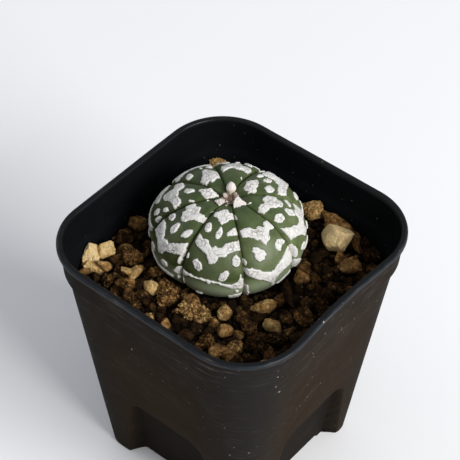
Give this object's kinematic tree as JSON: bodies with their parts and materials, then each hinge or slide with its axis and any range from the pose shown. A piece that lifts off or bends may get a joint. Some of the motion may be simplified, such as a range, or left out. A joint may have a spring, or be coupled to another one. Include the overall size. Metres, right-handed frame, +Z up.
{
  "type": "potted cactus",
  "caption": "Low domed star cactus with deep ribs and raised pale flecks, growing in a square tapered nursery pot of gritty soil.",
  "frame": {"origin": "on the ground, under the middle of the pot's outline", "axes": "+Z up out of the pot; the pot's straight sides face +X, -X, +Y and -Y; the corner nearest the picture's camera points between +X and -Y"},
  "size_m": [0.075, 0.075, 0.0869],
  "materials": {
    "pot": "satin dark charcoal, dusty and lightly scratched",
    "soil": "rough baked-clay and pumice grains, brown to pale tan",
    "cactus": null,
    "wool": "tan felted wool with a cream tuft"
  },
  "bodies": {
    "root": {"pot": "pot", "soil": "soil", "cactus_body": "cactus", "crown_wool": "wool"}
  },
  "joints": []
}
